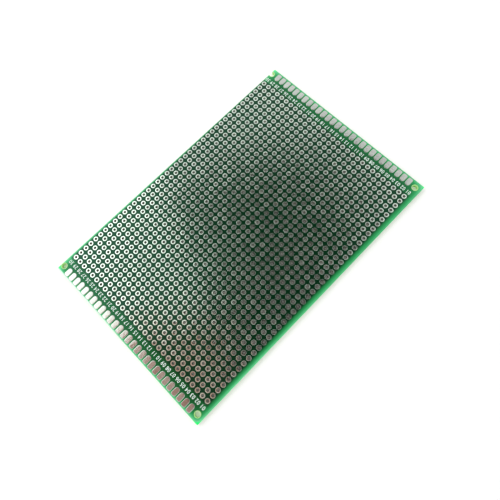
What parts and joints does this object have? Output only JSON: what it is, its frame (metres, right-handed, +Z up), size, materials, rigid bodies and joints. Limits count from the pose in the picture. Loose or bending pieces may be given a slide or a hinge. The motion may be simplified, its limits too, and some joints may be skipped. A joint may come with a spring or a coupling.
{
  "type": "perfboard",
  "caption": "Rectangular double-sided prototyping board with a grid of plated lead holes, tinned lands along both short ends and a screw hole near each corner.",
  "frame": {"origin": "middle of the board's box, at the face it lies on", "axes": "+X along the long side, towards the end with the broken-open screw hole; +Y along the short side, towards the sheared edge; +Z up, out of the numbered face"},
  "size_m": [0.12, 0.0788, 0.0017],
  "materials": {
    "green_laminate": "glossy green solder mask on glass-epoxy laminate",
    "tin": "bright levelled tin over copper"
  },
  "bodies": {
    "root": {"board": "green_laminate", "pads_row_01": "tin", "pads_row_02": "tin", "pads_row_03": "tin", "pads_row_04": "tin", "pads_row_05": "tin", "pads_row_06": "tin", "pads_row_07": "tin", "pads_row_08": "tin", "pads_row_09": "tin", "pads_row_10": "tin", "pads_row_11": "tin", "pads_row_12": "tin", "pads_row_13": "tin", "pads_row_14": "tin", "pads_row_15": "tin", "pads_row_16": "tin", "pads_row_17": "tin", "pads_row_18": "tin", "pads_row_19": "tin", "pads_row_20": "tin", "pads_row_21": "tin", "pads_row_22": "tin", "pads_row_23": "tin", "pads_row_24": "tin", "pads_row_25": "tin", "pads_row_26": "tin", "pads_row_27": "tin", "pads_row_28": "tin", "pads_row_29": "tin", "pads_row_30": "tin", "lands_left_top": "tin", "lands_left_underside": "tin", "lands_right_top": "tin", "lands_right_underside": "tin"}
  },
  "joints": []
}
